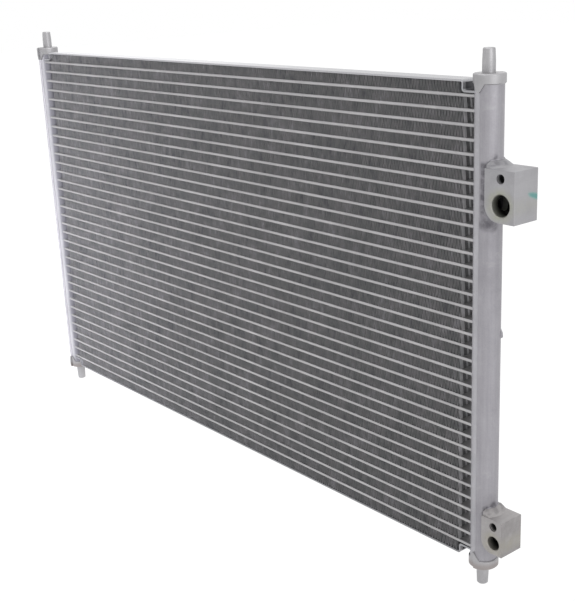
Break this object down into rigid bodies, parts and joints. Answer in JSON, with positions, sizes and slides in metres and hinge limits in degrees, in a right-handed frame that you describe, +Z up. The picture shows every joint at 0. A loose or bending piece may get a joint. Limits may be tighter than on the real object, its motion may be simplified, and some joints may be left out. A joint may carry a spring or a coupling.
{
  "type": "air conditioning condenser",
  "caption": "Parallel-flow aluminium condenser with flat tubes, folded fins, two vertical headers, end-cap pins and two connector blocks on one side.",
  "frame": {"origin": "axis of the lower right locating pin, in the plane of the lower end cap's shoulder; the right header carries the two connector blocks", "axes": "+Z up along the headers and pins, +X from the left header to the right one along the tubes, +Y to the back; the ports and the visible core face look along -Y"},
  "size_m": [0.6685, 0.0244, 0.403],
  "materials": {
    "tube_aluminium": "extruded and furnace brazed, satin",
    "fin_aluminium": "thin rolled sheet, matt after brazing",
    "header_aluminium": "clad sheet, matt after brazing",
    "side_plate_aluminium": "rolled sheet, satin",
    "block_aluminium": "machined, matt after brazing"
  },
  "bodies": {
    "root": {"baffle_left": "header_aluminium", "baffle_right_lower": "header_aluminium", "baffle_right_upper": "header_aluminium", "end_cap_lower_left": "block_aluminium", "end_cap_lower_right": "block_aluminium", "end_cap_upper_left": "block_aluminium", "end_cap_upper_right": "block_aluminium", "fins_01_04": "fin_aluminium", "fins_05_08": "fin_aluminium", "fins_09_12": "fin_aluminium", "fins_13_16": "fin_aluminium", "fins_17_20": "fin_aluminium", "fins_21_24": "fin_aluminium", "fins_25_28": "fin_aluminium", "fins_29_32": "fin_aluminium", "fins_33_36": "fin_aluminium", "header_plate_left": "header_aluminium", "header_plate_right": "header_aluminium", "inlet_block": "block_aluminium", "outlet_block": "block_aluminium", "side_plate_lower": "side_plate_aluminium", "side_plate_upper": "side_plate_aluminium", "tank_left": "header_aluminium", "tank_right": "header_aluminium", "tube_01": "tube_aluminium", "tube_02": "tube_aluminium", "tube_03": "tube_aluminium", "tube_04": "tube_aluminium", "tube_05": "tube_aluminium", "tube_06": "tube_aluminium", "tube_07": "tube_aluminium", "tube_08": "tube_aluminium", "tube_09": "tube_aluminium", "tube_10": "tube_aluminium", "tube_11": "tube_aluminium", "tube_12": "tube_aluminium", "tube_13": "tube_aluminium", "tube_14": "tube_aluminium", "tube_15": "tube_aluminium", "tube_16": "tube_aluminium", "tube_17": "tube_aluminium", "tube_18": "tube_aluminium", "tube_19": "tube_aluminium", "tube_20": "tube_aluminium", "tube_21": "tube_aluminium", "tube_22": "tube_aluminium", "tube_23": "tube_aluminium", "tube_24": "tube_aluminium", "tube_25": "tube_aluminium", "tube_26": "tube_aluminium", "tube_27": "tube_aluminium", "tube_28": "tube_aluminium", "tube_29": "tube_aluminium", "tube_30": "tube_aluminium", "tube_31": "tube_aluminium", "tube_32": "tube_aluminium", "tube_33": "tube_aluminium", "tube_34": "tube_aluminium", "tube_35": "tube_aluminium"}
  },
  "joints": []
}
